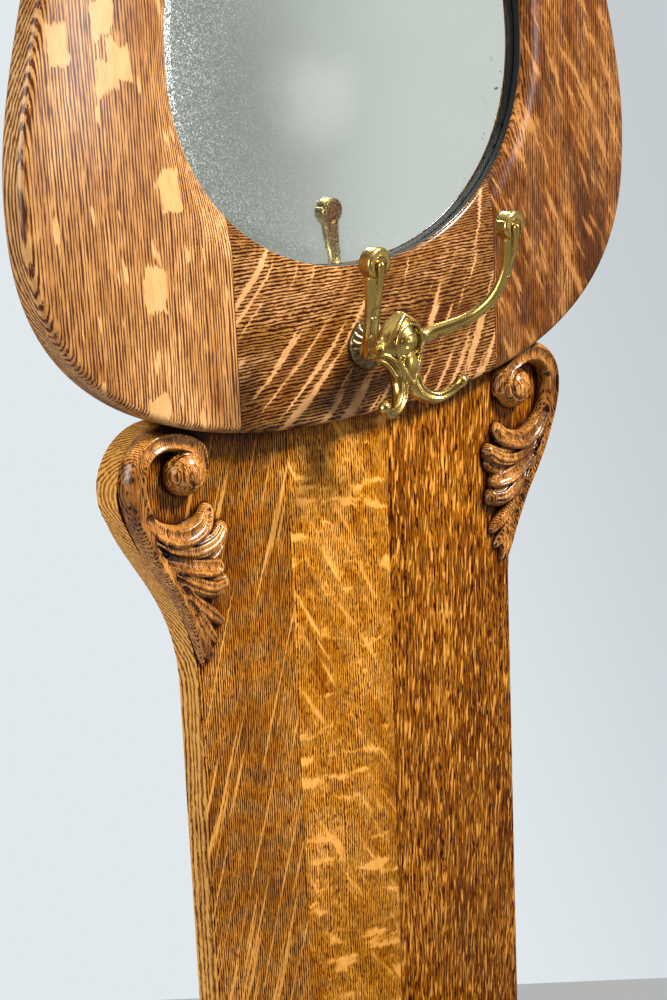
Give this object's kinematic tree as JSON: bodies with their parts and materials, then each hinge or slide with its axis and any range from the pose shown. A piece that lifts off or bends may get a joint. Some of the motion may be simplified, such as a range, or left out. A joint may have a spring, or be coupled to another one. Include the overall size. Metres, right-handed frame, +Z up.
{
  "type": "hall tree",
  "caption": "Tall oak hall tree with a balloon-shaped bevelled mirror, brass coat hooks, carved shoulder scrolls and a bench seat whose lid lifts on hinges over a storage box",
  "frame": {"origin": "centre of the footprint, on the floor", "axes": "+Z up, +X to the right seen from the front, -Y out of the front (toward a person facing the mirror)"},
  "size_m": [0.638, 0.42, 2.01],
  "materials": {
    "back_oak": "satin varnished quarter-sawn oak",
    "frame_oak": "satin varnished quarter-sawn oak",
    "carved_oak": "darker stained carved oak, glossy on the high spots",
    "bench_oak": "satin varnished oak",
    "plain_oak": "bare oak, unvarnished",
    "mirror": "silvered plate with a ground bevel, aged",
    "liner": "black painted packing strip",
    "hook_brass": "polished cast brass",
    "hinge_brass": "dull brass",
    "rosette": "dark antique brass",
    "steel": "plain wood screw"
  },
  "bodies": {
    "case": {"arm_left": "bench_oak", "arm_post_left": "bench_oak", "arm_post_right": "bench_oak", "arm_right": "bench_oak", "back_board_centre": "back_oak", "back_board_left": "back_oak", "back_board_right": "back_oak", "back_cleat_lower": "plain_oak", "back_cleat_upper": "plain_oak", "back_wing_left": "back_oak", "back_wing_right": "back_oak", "bench_bottom": "plain_oak", "bench_end_left": "bench_oak", "bench_end_right": "bench_oak", "bench_front": "bench_oak", "bottom_cleat_left": "plain_oak", "bottom_cleat_right": "plain_oak", "crest_scroll": "carved_oak", "frame_bottom_rail": "frame_oak", "frame_screw_1": "steel", "frame_screw_2": "steel", "frame_screw_3": "steel", "frame_screw_4": "steel", "frame_screw_5": "steel", "frame_screw_6": "steel", "frame_stile_left": "frame_oak", "frame_stile_right": "frame_oak", "frame_top_rail": "frame_oak", "hinge_left_fixed_leaf": "hinge_brass", "hinge_left_pin": "hinge_brass", "hinge_rail_cleat": "plain_oak", "hinge_right_fixed_leaf": "hinge_brass", "hinge_right_pin": "hinge_brass", "hook_left_casting": "hook_brass", "hook_left_rosette": "rosette", "hook_left_screw": "steel", "hook_lower_casting": "hook_brass", "hook_lower_rosette": "rosette", "hook_lower_screw": "steel", "hook_right_casting": "hook_brass", "hook_right_rosette": "rosette", "hook_right_screw": "steel", "mirror_backing": "plain_oak", "mirror_glass": "mirror", "mirror_liner": "liner", "seat_back_rail": "bench_oak", "seat_side_left": "bench_oak", "seat_side_right": "bench_oak", "shoulder_scroll_left": "carved_oak", "shoulder_scroll_right": "carved_oak"},
    "lid": {"hinge_left_moving_leaf": "hinge_brass", "hinge_right_moving_leaf": "hinge_brass", "lid_batten_left": "plain_oak", "lid_batten_right": "plain_oak", "lid_front_board": "bench_oak", "lid_rear_board": "bench_oak"}
  },
  "joints": [
    {"name": "lid_hinge", "type": "hinge", "parent": "case", "child": "lid", "pos_m": [0, 0.1077, 0.4412], "axis": [-1, 0, 0], "range_deg": [0, 102]}
  ]
}
